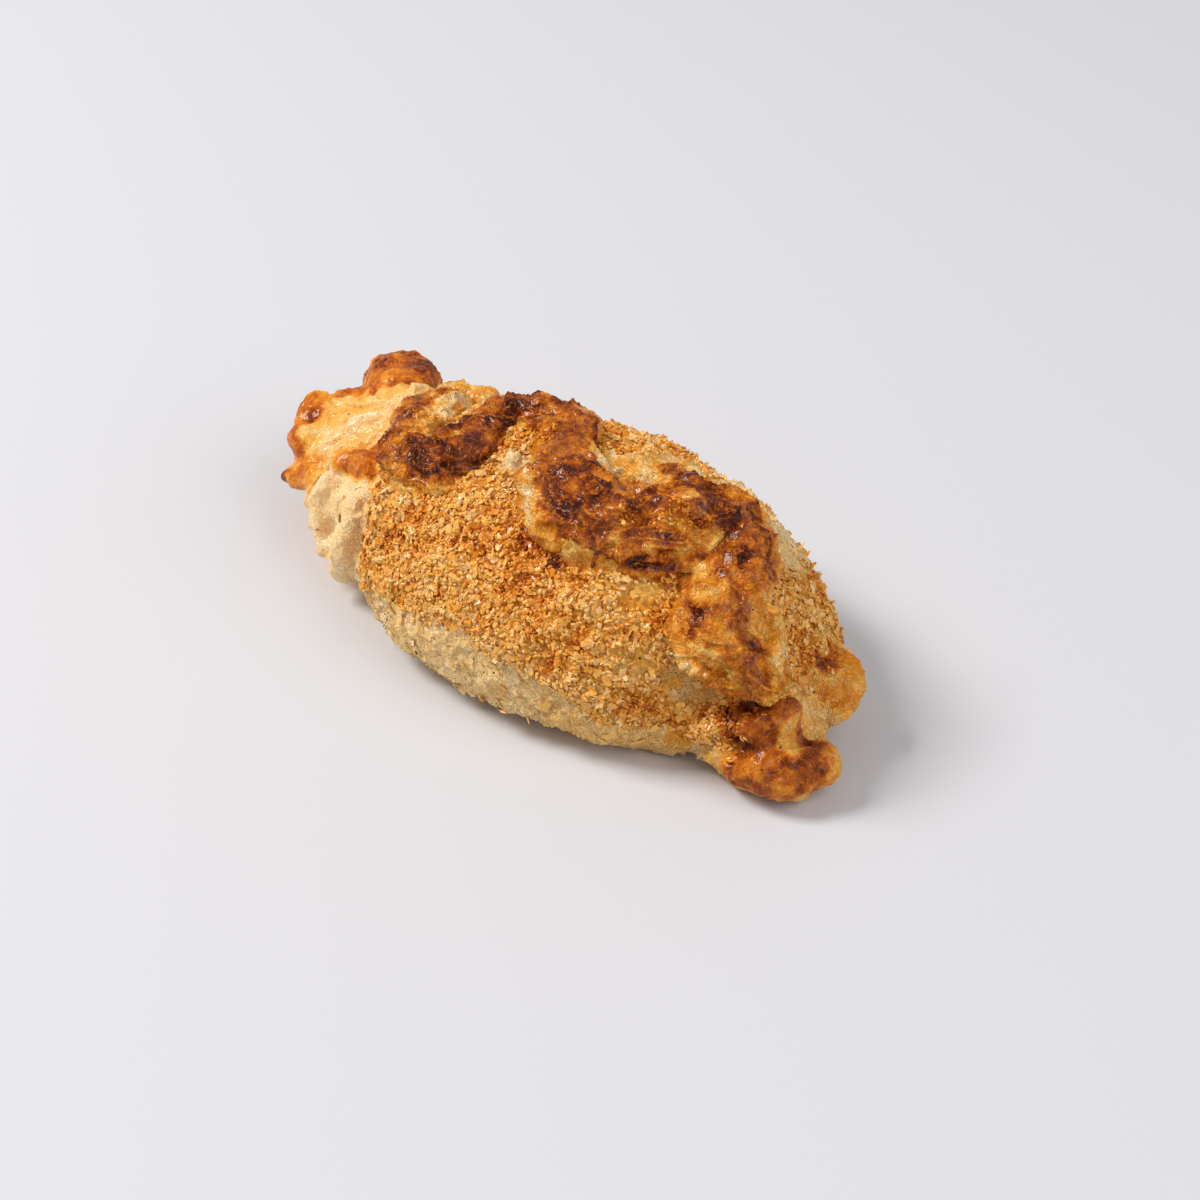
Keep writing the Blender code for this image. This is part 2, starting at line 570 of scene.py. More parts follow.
@dataclass(frozen=True)
class BakedFinish:
    """Baked pastry whose colour and gloss follow the numbers painted on its mesh. Sizes in millimetres."""

    name: str
    blotch_size: float = 6.0
    blotch: float = 0.08
    mottle_size: float = 1.2
    mottle: float = 0.06
    wrinkle_size: float = 4.0
    curl: float = 1.2
    blister_size: float = 1.4
    blister: float = 0.5
    relief: float = 0.5
    # How much paler the browned crests of the fine wrinkles are painted: partly pale dough, partly painted
    # sheen.
    crest_pallor_and_sheen: float = 0.2
    dull: float = 0.72
    shiny: float = 0.34
    coat_roughness: float = 0.2
    glaze: float = 0.45
    glow: float = 0.08
    glow_colour: tuple[float, float, float] = (1.0, 0.45, 0.15)
    glow_depth: float = 2.5
    specular: float = 0.08

    def material(self) -> bpy.types.Material:
        """Builds the material.

        Returns:
            A material that reads the mesh's bake, gloss and wrinkled.
        """
        material = bpy.data.materials.new(self.name)
        material.use_nodes = True
        wiring = Wiring(material.node_tree)
        shader = wiring.tree.nodes["Principled BSDF"].inputs
        bake = wiring.painted("bake")
        gloss = wiring.painted("gloss")
        grain = wiring.placed("PastryGrain", {
            "Wrinkle Scale": 1 / (self.wrinkle_size * MM),
            "Curl": self.curl,
            "Blister Scale": 1 / (self.blister_size * MM),
            "Blister": self.blister,
        })
        # The crests of the fine wrinkles are painted paler where the pastry is browner: partly pale dough,
        # partly painted sheen along them.
        browned_crest = wiring.math("MULTIPLY", grain.outputs["Crest"], bake)
        pale_and_sheen_share = wiring.math("MULTIPLY_ADD", browned_crest, -self.crest_pallor_and_sheen, 1.0)
        colour = wiring.placed("BakedColour", {
            "Blotch Scale": 1 / (self.blotch_size * MM),
            "Blotch": self.blotch,
            "Mottle Scale": 1 / (self.mottle_size * MM),
            "Mottle": self.mottle,
        })
        wiring.link(wiring.math("MULTIPLY", bake, pale_and_sheen_share), colour.inputs["Bake"])
        wiring.link(colour.outputs["Color"], shader["Base Color"])
        roughness = wiring.math("MULTIPLY_ADD", gloss, self.shiny - self.dull, self.dull)
        wiring.link(roughness, shader["Roughness"])
        wiring.link(wiring.math("MULTIPLY", gloss, self.glaze), shader["Coat Weight"])
        shader["Coat Roughness"].default_value = self.coat_roughness
        shader["Specular IOR Level"].default_value = self.specular
        shader["Subsurface Weight"].default_value = self.glow
        shader["Subsurface Radius"].default_value = self.glow_colour
        shader["Subsurface Scale"].default_value = self.glow_depth * MM
        bump = wiring.add("ShaderNodeBump")
        bump.inputs["Distance"].default_value = self.relief * MM
        height = wiring.math("MULTIPLY", grain.outputs["Height"], wiring.painted("wrinkled"))
        wiring.link(height, bump.inputs["Height"])
        wiring.link(bump.outputs["Normal"], shader["Normal"])
        return material


# ---------------------------------------------------------------- marks on the dough


@dataclass(frozen=True)
class Spot:
    """A patch on the dough, and its bake where it has its own. Place and radius in millimetres."""

    name: str
    place: tuple[float, float, float]
    radius: float
    bake: float = 0.0

    def reach(self, points: Array) -> Array:
        """How far points lie from the patch's middle, as a share of its radius."""
        return np.linalg.norm(points - np.array(self.place), axis=1) / self.radius


@dataclass(frozen=True)
class Fold:
    """A raised lip, rib or lump of dough and its bake. Rows are x, y, z and radius in millimetres."""

    name: str
    bake: float
    chain: Roll


@dataclass(frozen=True)
class Crease:
    """A valley pressed between two folds. Rows are x, y, z and half its width in millimetres."""

    name: str
    depth: float
    chain: Roll


def chain_distance(chain: Roll, points: Array) -> Array:
    """How far points lie from a chain's middle line, as a share of its radius there.

    Args:
        chain: rows of x, y, z and radius in millimetres.
        points: places in millimetres.

    Returns:
        One value for each point, and a large one for points far away.
    """
    places = np.linspace(0, len(chain) - 1, 5 * len(chain))
    rows = np.array([eased(chain, place) for place in places])
    nearest = np.full(len(points), FAR)
    margin = 2.5 * rows[:, 3].max()
    low = rows[:, :3].min(axis=0) - margin
    high = rows[:, :3].max(axis=0) + margin
    close = np.flatnonzero(np.all((points > low) & (points < high), axis=1))
    for row in rows:
        reach = np.linalg.norm(points[close] - row[:3], axis=1) / row[3]
        nearest[close] = np.minimum(nearest[close], reach)
    return nearest


def browned(bake: Array, points: Array, spots: tuple[Spot, ...], seed: int) -> Array:
    """Lays spots with ragged edges over a bake.

    Args:
        bake: the bake before.
        points: the points' places in millimetres.
        spots: the patches, each laid over the ones before it.
        seed: picks the raggedness.

    Returns:
        The bake after.
    """
    ragged = layered_noise(points, 5.0, seed, 3) * 0.42
    for spot in spots:
        weight = smooth_step(1.25, 0.55, spot.reach(points) + ragged)
        bake = bake + (spot.bake - bake) * weight
    return bake


def patched(points: Array, spots: tuple[Spot, ...], outer: float, inner: float, ragged: Array) -> Array:
    """How much each point lies inside any of the patches.

    Args:
        points: places in millimetres.
        spots: the patches.
        outer: where a patch ends, as a share of its radius.
        inner: where it is at its fullest.
        ragged: what is added to each point's distance, for uneven edges.

    Returns:
        0 to 1 for each point.
    """
    inside = np.zeros(len(points))
    for spot in spots:
        inside = np.maximum(inside, smooth_step(outer, inner, spot.reach(points) + ragged))
    return inside


def folded(bake: Array, points: Array, folds: tuple[Fold, ...], seed: int) -> Array:
    """Bakes folds along their whole length.

    Args:
        bake: the bake before.
        points: the points' places in millimetres.
        folds: the folds, each laid over the ones before it.
        seed: picks the raggedness of their edges.

    Returns:
        The bake after.
    """
    ragged = layered_noise(points, 4.0, seed, 3) * 0.4
    for fold in folds:
        weight = smooth_step(1.6, 0.9, chain_distance(fold.chain, points) + ragged)
        bake = bake + (fold.bake - bake) * weight
    return bake


def creased(points: Array, creases: tuple[Crease, ...]) -> Array:
    """How deep the valleys are.

    Args:
        points: places in millimetres.
        creases: the valleys.

    Returns:
        The depth at each point in millimetres.
    """
    depth = np.zeros(len(points))
    for crease in creases:
        depth = np.maximum(depth, crease.depth * smooth_step(1.0, 0.1, chain_distance(crease.chain, points)))
    return depth


# ---------------------------------------------------------------- the crust


@dataclass
class Crust:
    """The body, its pleats and its two fanned ends, as one skin over the solid's shape.

    Sizes are in millimetres. A pair of numbers says where a zone starts and where it is at its fullest.
    """

    voxel: float = 0.62
    smoothing: int = 10
    most_triangles: int = 195000
    flatness: float = 0.95
    per_step: int = 5
    sink_under_crimp: float = 4.0
    crimp_seat: tuple[float, float] = (1.06, 0.80)
    floor_blend: tuple[float, float] = (0.2, 3.0)
    left_end: tuple[float, float] = (-46.0, -58.0)
    right_end: tuple[float, float] = (72.0, 82.0)
    smooth_dough: tuple[float, float] = (-38.0, -50.0)
    crumb_size: float = 2.6
    crumb_height: float = 0.9
    flake_size: float = 6.0
    flake_height: float = 1.5
    lump_size: float = 19.0
    lump_height: float = 1.0
    knob_size: float = 7.0
    knob_height: float = 1.1
    fan_root: tuple[float, float] = (-58.0, 4.0)
    knob_place: tuple[float, float, float] = (-89.0, 23.0, 33.0)
    knob_reach: tuple[float, float] = (17.0, 11.0)
    ribs_along: tuple[float, float] = (-56.0, -72.0)
    ribs_up: tuple[float, float] = (18.0, 25.0)
    crumbs_left: tuple[float, float] = (-42.0, -34.0)
    crumbs_right: tuple[float, float] = (88.0, 76.0)

    # How high the crumbs' lower edge stands at each x, in millimetres.
    CRUMB_EDGE_X = (-46, -32, -18, 9, 30, 43, 55, 62, 75)
    CRUMB_EDGE_Z = (13, 15, 23, 24, 22, 20, 12, 9, 9)

    FOLDS = (
        Fold("fan rib by the knob", 0.22, ((-70, 10, 37, 3), (-85, 12, 30, 3), (-97, 11, 26, 2.5))),
        Fold("fan rib at the back", 0.18, (
            (-62, 0, 42, 3), (-71, 3, 36, 3), (-80, 4, 32, 3), (-94, 4, 28, 2.5),
        )),
        Fold("fan rib in the middle", 0.20, (
            (-58, -3, 41, 3), (-69, -2, 34, 3), (-77, -7, 30, 3), (-81, -13, 25, 2.5),
        )),
        Fold("fan rib in front", 0.26, ((-59, -11, 37, 3), (-66, -17, 33, 3), (-75, -16, 25, 2.5))),
        Fold("fan rim", 0.54, (
            (-97, 12, 25, 2.5), (-97, 6, 27, 3), (-98, 1, 26, 2.5), (-96, -5, 27, 3), (-97, -9, 23, 2.5),
            (-91, -15, 24, 3), (-89, -17, 20, 2.5),
        )),
        Fold("horn", 0.46, ((-87, -20, 16, 4), (-85, -19, 18, 4.5), (-76, -21, 21, 4), (-70, -22, 22, 4))),
        Fold("front knob", 0.58, (
            (-62, -22, 32, 4), (-58, -21, 33, 5), (-53, -22, 35, 5), (-49, -24, 36, 4),
        )),
        Fold("first pleat", 0.08, (
            (-64, -27, 26, 5), (-65, -28, 21, 5.5), (-62, -30, 16, 5.5), (-58, -32, 12, 5),
        )),
        Fold("second pleat", 0.08, (
            (-49, -30, 28, 6), (-46, -32, 24, 6), (-48, -34, 17, 6), (-50, -34, 10, 5),
        )),
        Fold("edge of the body", 0.34, (
            (-40, -29, 36, 3.5), (-33, -33, 35, 3.5), (-31, -37, 30, 3.5), (-26, -41, 25, 3),
        )),
        Fold("edge over the tail", 0.40, (
            (65, -24, 8, 2.5), (72, -22, 12, 2.5), (78, -17, 18, 2.5), (81, -10, 22, 2),
        )),
        Fold("big flake beside the hood", 0.10, (
            (-9, -8, 53, 2.5), (-7, -11, 53, 3), (-4, -14, 52, 3), (-1, -17, 51, 2),
        )),
        Fold("upper layer line", 0.22, (
            (4, 25, 48, 2), (29, 30, 43, 2), (42, 29, 41, 2), (52, 26, 38, 2), (64, 25, 31, 2),
        )),
        Fold("lower layer line", 0.20, (
            (16, 36, 41, 2), (30, 37, 39, 2), (42, 35, 36, 2), (54, 30, 34, 2), (62, 28, 30, 2),
        )),
        Fold("rim of the flap", 0.40, (
            (83, 17, 22, 2.5), (87, 19, 19, 2.5), (91, 16, 17, 2.5), (93, 10, 15, 2.5), (92, 1, 11, 2),
        )),
        Fold("middle knob", 0.64, (
            (77, -17, 15, 4.5), (82, -18, 17, 5), (86, -16, 18, 5.5), (88, -12, 20, 5.5), (88, -8, 20, 5),
        )),
        Fold("lower bulb of the knob", 0.66, ((88, -17, 14, 4), (90, -14, 16, 4))),
        Fold("lower lobe", 0.60, (
            (84, -22, 8, 4), (90, -21, 8, 4.5), (95, -19, 7, 4.5), (98, -15, 8, 4.5), (98, -10, 9, 4.5),
            (95, -5, 10, 4),
        )),
    )

    CREASES = (
        Crease("over the lower lobe", 1.4, (
            (77, -24, 12, 2), (83, -23, 14, 2.5), (90, -19, 14, 2.5), (94, -14, 15, 2.5), (95, -9, 16, 2.5),
        )),
        Crease("web", 1.5, ((92, -4, 14, 3), (93, 2, 12, 3))),
        Crease("under the edge over the tail", 1.8, (
            (70, -26, 5, 2.5), (76, -23, 10, 2.5), (81, -18, 16, 2.5),
        )),
        Crease("between the pleats", 1.8, ((-52, -31, 32, 4), (-55, -34, 24, 3.5), (-59, -34, 16, 4))),
        Crease("behind the second pleat", 1.6, (
            (-43, -31, 32, 3.5), (-40, -36, 28, 3.5), (-41, -38, 20, 4),
        )),
        Crease("behind the horn", 2.2, ((-70, -24, 26, 3), (-70, -26, 20, 3), (-71, -27, 14, 3))),
        Crease("behind the front knob", 1.8, ((-66, -15, 34, 3), (-58, -13, 38, 3))),
    )

    SPOTS = (
        Spot("fan", (-87, 3, 29), 12, 0.27),
        Spot("fan root", (-70, -6, 35), 11, 0.22),
        Spot("back of the fan rim", (-99, 2, 27), 6, 0.50),
        Spot("fan rim", (-99, -9, 26), 7, 0.62),
        Spot("front of the fan rim", (-93, -16, 24), 5, 0.60),
        Spot("knob", (-90, 23, 35), 15, 0.70),
        Spot("front of the knob", (-87, 17, 33), 9, 0.58),
        Spot("foot of the knob", (-79, 11, 36), 5, 0.36),
        Spot("char on the knob", (-86, 27, 38), 2.2, 0.84),
        Spot("horn tip", (-91, -22, 15), 3.2, 0.86),
        Spot("shoulder", (-29, -31, 44), 5, 0.20),
        Spot("upper pleats", (-56, -30, 26), 9, 0.07),
        Spot("lower pleats", (-50, -36, 14), 10, 0.08),
        Spot("pale fold by the body", (-44, -33, 24), 6, 0.10),
        Spot("left of the pale flank", (4, -48, 18), 17, 0.15),
        Spot("middle of the pale flank", (25, -47, 17), 14, 0.15),
        Spot("right of the pale flank", (43, -43, 14), 12, 0.20),
        Spot("foot", (58, -33, 6), 10, 0.22),
        Spot("under the bend", (50, -22, 42), 6, 0.38),
        Spot("beside the bend", (55, -18, 41), 4, 0.36),
        # Painted shade: the crumbs under the overhanging crimp are painted darker.
        Spot("dark crumbs under the crimp", (26, -28, 46), 6, 0.68),
        Spot("dark crumbs beside them", (18, -29, 48), 4, 0.62),
        Spot("brown crumbs on the flank", (62, -30, 21), 6, 0.50),
        Spot("gap below the crimp's end", (58, -30, 30), 8, 0.32),
        Spot("gap beside it", (68, -21, 24), 8, 0.30),
        Spot("yellow crumbs", (66, 19, 33), 12, 0.34),
        Spot("brown by the tail", (77, 12, 26), 5, 0.50),
        Spot("back flank", (50, 34, 34), 12, 0.12),
        Spot("back flank beside it", (34, 36, 36), 12, 0.14),
        Spot("web", (92, 0, 14), 6, 0.24),
        Spot("top of the lower lobe", (94, -20, 12), 6, 0.60),
        Spot("right of the lower lobe", (99, -12, 12), 7, 0.62),
        Spot("pale band over the lower lobe", (85, -22, 15), 3, 0.26),
        Spot("end of the pale band", (94, -12, 17), 4.5, 0.26),
        Spot("tail root", (76, -22, 10), 7, 0.27),
        Spot("char on the lower lobe", (100, -17, 14), 1.3, 0.84),
        Spot("flap", (91, 13, 19), 7, 0.38),
        Spot("line on the flap", (84, 12, 23), 3, 0.62),
    )

    BARE = (
        Spot("gap below the crimp's end", (58, -30, 30), 4),
        Spot("gap beside it", (66, -23, 26), 6),
        Spot("gap at the tail", (70, -19, 22), 4),
        Spot("under the bend", (50, -21, 43), 4.5),
        Spot("big flake", (-6, -12, 54), 4),
        Spot("left of the back band", (30, 36, 38), 11),
        Spot("middle of the back band", (48, 33, 36), 11),
        Spot("right of the back band", (58, 27, 34), 7),
        Spot("tail", (91, -2, 14), 7),
    )

    def build(self, crimp: "Crimp") -> Skin:
        """Makes the crust.

        Args:
            crimp: the crimp, whose seat the crust sinks under.

        Returns:
            The crust's skin.
        """
        chains = tuple(fold.chain for fold in self.FOLDS)
        form = rolled_dough("crust_form", chains, self.flatness, self.per_step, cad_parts[NODE])
        skin = Skin.of(fine_skin(form, "crust", self.voxel, self.smoothing))
        reach, _, _ = crimp.coordinates(skin.points)
        under = smooth_step(*self.crimp_seat, reach)
        x, _, z = skin.points.T
        crumbs = self.crumb_zone(skin.points) * (1 - under)
        ends = self.end_zone(skin.points)
        floor = smooth_step(*self.floor_blend, z)
        lumps = self.lump_height * layered_noise(skin.points, self.lump_size, 11, 2) * (1 - 0.5 * ends)
        skin.push((lumps - creased(skin.points, self.CREASES)) * floor)
        dough = np.maximum(ends, smooth_step(*self.smooth_dough, x))
        rumples = self.flake_relief(skin.points) * (1 - 0.8 * dough)
        relief = crumbs * self.crumb_relief(skin.points) + (1 - crumbs) * rumples
        relief = relief + self.fan_relief(skin.points) * ends
        skin.push(relief * floor - self.sink_under_crimp * under)
        skin.paint("bake", self.bake(skin, crumbs, ends, relief, under))
        gloss = 0.15 + 0.5 * crumbs + 0.4 * ends + 0.2 * layered_noise(skin.points, 8.0, 95, 2)
        skin.paint("gloss", np.clip(gloss, 0.0, 1.0))
        skin.paint("wrinkled", 1.0 - 0.5 * dough * (x < 0))
        return Skin.of(thinned(skin.piece, self.most_triangles))

    def crumb_zone(self, points: Array) -> Array:
        """Where the body wears toasted crumbs: its shoulders, down to a ragged line above the pale foot.

        Args:
            points: places in millimetres.

        Returns:
            0 to 1 for each point.
        """
        x, _, z = points.T
        edge = np.interp(x, self.CRUMB_EDGE_X, self.CRUMB_EDGE_Z) + 3.5 * layered_noise(points, 9.0, 21, 3)
        above = smooth_step(edge - 1.0, edge + 2.0, z)
        left = smooth_step(*self.crumbs_left, x + 3 * soft_noise(points, 9.0, 25))
        along = left * smooth_step(*self.crumbs_right, x)
        bare = patched(points, self.BARE, 1.15, 0.75, 0.3 * layered_noise(points, 6.0, 27, 3))
        return above * along * (1 - bare)

    def end_zone(self, points: Array) -> Array:
        """Where the crust is pinched ends rather than body."""
        x = points[:, 0]
        return np.maximum(smooth_step(*self.left_end, x), smooth_step(*self.right_end, x))

    def crumb_relief(self, points: Array) -> Array:
        """Curly crests with small nodules between them, over low humps.

        Args:
            points: places in millimetres.

        Returns:
            The height at each point in millimetres.
        """
        small, value = pebbles(points, self.crumb_size * 0.6, 41)
        curls = crests(points, self.crumb_size, 31, 3.5)
        curls = curls + 0.5 * crests(points, self.crumb_size * 0.6, 33, 3.5)
        humps = 0.9 * layered_noise(points, 7.0, 35, 2)
        return self.crumb_height * (curls - 0.5 + (0.5 - small) * (0.4 + value)) + humps

    def flake_relief(self, points: Array) -> Array:
        """The stepped edges and rumples of thin dry layers, longer along the pasty than across it.

        Args:
            points: places in millimetres.

        Returns:
            The height at each point in millimetres.
        """
        stretched = points * np.array((0.6, 1.0, 1.1))
        warp = np.stack([soft_noise(points, 4.0, 51 + axis) for axis in range(3)], axis=1) * 1.5
        layers = terraces(layered_noise(stretched + warp, self.flake_size, 55, 3), 3.5, 0.7)
        ridge = crests(stretched + warp, self.flake_size * 0.7, 61) - 0.3
        fine = crests(points + warp, self.flake_size * 0.4, 65) - 0.3
        return self.flake_height * (0.6 * layers + 0.7 * ridge + 0.35 * fine)

    def fan_relief(self, points: Array) -> Array:
        """Ribs that spread from the fan's root, and lumps and wrinkles on both ends.

        Args:
            points: places in millimetres.

        Returns:
            The height at each point in millimetres.
        """
        x, y, z = points.T
        angle = np.arctan2(y - self.fan_root[1], -(x - self.fan_root[0]))
        away = np.hypot(x - self.fan_root[0], y - self.fan_root[1])
        spread = np.stack([0.16 * away, 26.0 * angle, np.full(len(points), 2.0)], axis=1)
        knob = smooth_step(*self.knob_reach, np.linalg.norm(points - np.array(self.knob_place), axis=1))
        ribbed = smooth_step(*self.ribs_along, x) * smooth_step(*self.ribs_up, z) * (1 - knob)
        ribs = ribbed * (1.3 * crests(spread, 4.5, 71, 3.0) + 0.6 * crests(spread, 2.6, 79, 3.0))
        lumps = self.knob_height * layered_noise(points, self.knob_size, 75, 3)
        wrinkles = 0.3 * crests(points, 4.5, 73) + 0.2 * crests(points, 2.4, 77)
        return ribs + lumps + wrinkles * (1 + 0.2 * smooth_step(60, 80, x)) - 0.5

    def bake(self, skin: Skin, crumbs: Array, ends: Array, relief: Array, under: Array) -> Array:
        """How far each point is baked, with painted shade in the hollows of the crumbs and the ends.

        Args:
            skin: the crust's skin.
            crumbs: where it wears crumbs.
            ends: where it is pinched.
            relief: its fine relief, in millimetres.
            under: where the crimp lies over it.

        Returns:
            The bake of each point.
        """
        points = skin.points
        body = Bake.PALE + (Bake.GOLD - 0.02 - Bake.PALE) * crumbs
        body = body + 0.1 * layered_noise(points, 12.0, 81, 3) * crumbs
        bake = body + (Bake.BUTTER - body) * ends + 0.14 * layered_noise(points, 6.0, 89, 3) * ends
        bake = folded(bake, points, self.FOLDS, 83)
        bake = browned(bake, points, self.SPOTS, 85)
        bake = bake + (Bake.GOLD - bake) * smooth_step(0.0, 0.5, under)
        mottle = 0.25 * np.clip(bake, 0.2, 0.7) * layered_noise(points, 3.5, 87, 3)
        # Painted shade and light: in the crumbs and on the ends the hollows are painted darker and the crests
        # paler; elsewhere on the body raised parts come out a little browner.
        bake = bake + mottle - 0.12 * relief * crumbs + (0.02 - 0.08 * ends) * relief * (1 - crumbs)
        return np.clip(bake, 0.10 + 0.2 * crumbs, 1.0)


# ---------------------------------------------------------------- the crimp


@dataclass
class Crimp:
    """The thick sealed edge that swings from side to side along the top."""

    voxel: float = 0.48
    smoothing: int = 3
    most_triangles: int = 190000
    flatness: float = 0.85
    per_step: int = 6
    lump_size: float = 9.0
    lump_height: float = 1.2
    blister_size: float = 3.4
    blister_height: float = 0.8
    ruck_size: float = 8.0
    ruck_height: float = 1.4
    strand_gap: float = 1.5
    strand_height: float = 1.0

    ROUTE = (
        (-52, -1, 45, 6.5),
        (-44, -11, 45, 7.5),
        (-40, -19, 43, 8),
        (-28, -21, 45, 9.5),
        (-22, -18, 47, 9),
        (-21, -11, 50, 7.5),
        (-25, -4, 50, 7),
        (-24, 5, 50, 8),
        (-18, 10, 51, 8),
        (-8, 10, 52, 8),
        (0, 2, 53, 9),
        (9, -7, 52, 11.5),
        (19, -13, 51, 13.5),
        (30, -13, 50, 14),
        (38, -7, 50, 13.5),
        (43, 1, 50, 12.5),
        (46, 11, 49, 10),
        (51, 13, 47, 8.5),
        (59, 6, 45, 9),
        (65, -4, 42, 10.5),
        (68, -13, 38, 11.5),
        (74, -11, 33, 10),
        (82, -11, 29, 7.5),
    )

    FOLDS = (
        Fold("pocket behind the hood", 0.26, (
            (-50, 2, 45, 6), (-44, 1, 46, 6), (-41, -6, 46, 6), (-39, -13, 46, 6),
        )),
        Fold("edge behind the pocket", 0.28, (
            (-54, 9, 45, 3), (-50, 11, 46, 3), (-45, 12, 47, 3), (-40, 11, 48, 3),
        )),
        Fold("left lobe of the hood", 0.58, (
            (-43, -15, 49, 3), (-44, -19, 48, 3), (-41, -25, 46, 3), (-36, -27, 46, 3),
        )),
        Fold("lip under the hood", 0.42, (
            (-37, -27, 46, 2.5), (-28, -29, 46, 2.5), (-23, -28, 46, 2.5), (-17, -26, 46, 2.5),
            (-8, -21, 48, 2.5),
        )),
        Fold("curl behind the hood", 0.68, (
            (-44, -13, 49, 3), (-48, -9, 49, 3), (-50, -5, 49, 3), (-51, -1, 49, 3), (-50, 2, 48, 3),
        )),
        Fold("face of the hood", 0.80, (
            (-31, -23, 49, 4), (-23, -22, 50, 5), (-18, -15, 51, 5), (-21, -7, 52, 5), (-26, 1, 52, 4),
        )),
        Fold("ridge of the hood", 0.74, (
            (-27, -26, 51, 3), (-27, -20, 52, 3), (-30, -12, 52, 3), (-28, -6, 53, 3), (-28, -2, 54, 3),
            (-29, 3, 55, 3), (-21, 8, 56, 3), (-9, 11, 57, 3), (-2, 10, 57, 3),
        )),
        Fold("pale flap", 0.28, ((13, 4, 52, 5.5), (20, 8, 52, 6), (27, 9, 52, 6), (34, 6, 53, 5.5))),
        Fold("rim of the pale flap", 0.26, (
            (10, 3, 55, 3), (14, 11, 53, 3), (19, 15, 52, 3), (25, 18, 52, 3), (32, 16, 52, 3),
        )),
        Fold("pale side of the big fold", 0.34, (
            (8, -17, 57, 3.5), (12, -21, 55, 3.8), (18, -24, 53, 3.8), (24, -26, 50, 3.6),
            (30, -26, 48, 2.5),
        )),
        Fold("lip of the big fold", 0.62, (
            (29, -26, 48, 2.5), (35, -24, 47, 2.5), (45, -17, 47, 2.5), (49, -11, 47, 2.5),
            (55, -3, 47, 2.5),
        )),
        Fold("curl of the big fold", 0.62, (
            (5, -3, 60, 3), (5, -8, 60, 3), (7, -13, 59, 3), (15, -19, 59, 3),
        )),
        Fold("back of the big fold", 0.60, (
            (6, -3, 60, 2.5), (12, -3, 59, 2.5), (21, -6, 58, 2.5), (32, -11, 60, 2.5), (36, -4, 59, 2.5),
            (45, -4, 59, 2.5),
        )),
        Fold("burnt ridge", 0.80, (
            (15, -15, 61, 2.5), (20, -14, 61, 2.5), (25, -12, 61, 2.5), (34, -16, 60, 2.5),
        )),
        Fold("burnt ridge in front", 0.78, (
            (21, -16, 61, 2.5), (28, -18, 60, 2.5), (36, -18, 58, 2.5), (36, -15, 60, 2.5),
        )),
        Fold("middle ridge", 0.70, (
            (44, -17, 53, 2.5), (48, -12, 53, 2.5), (49, -9, 54, 2.5), (52, -1, 54, 2.5),
        )),
        Fold("far ridge", 0.70, (
            (29, 11, 54, 3), (40, 8, 57, 3), (46, 7, 57, 3), (51, 9, 55, 3), (60, 9, 50, 3), (69, 1, 47, 3),
            (73, -3, 44, 3),
        )),
        Fold("left side of the last fold", 0.50, (
            (54, -9, 43, 2.5), (62, -17, 44, 2.5), (63, -21, 41, 2.5), (71, -24, 34, 2.5),
            (79, -20, 29, 2.5), (82, -17, 27, 2.5),
        )),
        Fold("right flap of the last fold", 0.36, (
            (70, -4, 44, 3), (74, -5, 43, 3.5), (77, -2, 40, 3.5), (80, -3, 37, 3.5), (85, -9, 33, 3),
            (86, -15, 30, 3),
        )),
        Fold("ridge of the last fold", 0.58, (
            (73, -19, 42, 3), (78, -17, 39, 3), (82, -15, 35, 3), (86, -15, 30, 3),
        )),
    )

    CREASES = (
        Crease("behind the ridge of the hood", 1.6, (
            (-32, -18, 52, 2.5), (-36, -9, 50, 2.5), (-34, -2, 51, 2.5),
        )),
        Crease("behind the big fold", 1.8, (
            (5, 0, 60, 2), (13, 0, 58, 2.5), (26, -4, 60, 2.5), (33, -6, 61, 2.5), (42, -2, 60, 2),
        )),
        Crease("hollow of the big fold", 2.0, (
            (42, -14, 59, 4), (46, -8, 60, 5), (51, -4, 57, 5), (54, 0, 54, 4),
        )),
        Crease("down the last fold", 1.6, (
            (65, -1, 50, 3), (71, -8, 48, 3.5), (77, -12, 43, 3.5), (81, -12, 38, 3),
        )),
        Crease("between arch and big fold", 2.0, ((-5, -4, 57, 3), (-2, 2, 60, 3), (3, 6, 59, 3))),
    )

